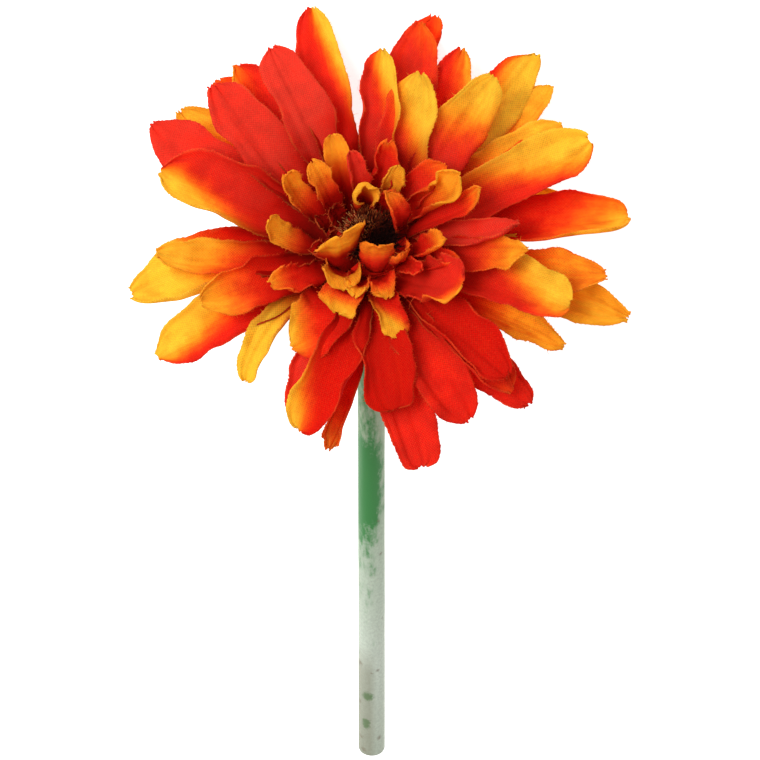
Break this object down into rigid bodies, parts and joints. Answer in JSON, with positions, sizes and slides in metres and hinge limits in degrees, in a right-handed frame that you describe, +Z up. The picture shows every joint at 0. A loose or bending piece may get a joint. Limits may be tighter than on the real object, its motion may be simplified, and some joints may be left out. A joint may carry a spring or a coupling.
{
  "type": "artificial gerbera daisy pick",
  "caption": "Artificial gerbera daisy on a short stem: layered fabric petals round a bristly eye, lying as it rests on a table.",
  "frame": {"origin": "middle of the outline on the table, at the height of the lowest points", "axes": "+Y along the stem from its cut end to the head, +Z up from the table"},
  "size_m": [0.1087, 0.1921, 0.0622],
  "materials": {
    "red_fabric": "woven polyester, red dye fading to yellow tips",
    "orange_fabric": "woven polyester, orange dye with yellow edges",
    "brown_pile": "bristly pile",
    "green_plastic": "green with a pale patchy coat",
    "calyx_plastic": "moulded green",
    "steel_wire": "drawn wire"
  },
  "bodies": {
    "root": {"stem": "green_plastic", "stem_wire": "steel_wire", "calyx": "calyx_plastic", "outer_petals_back": "red_fabric", "outer_petals_middle": "red_fabric", "outer_petals_front": "red_fabric", "inner_petals_low": "orange_fabric", "inner_petals_middle": "orange_fabric", "inner_petals_top": "orange_fabric", "eye": "brown_pile"}
  },
  "joints": []
}
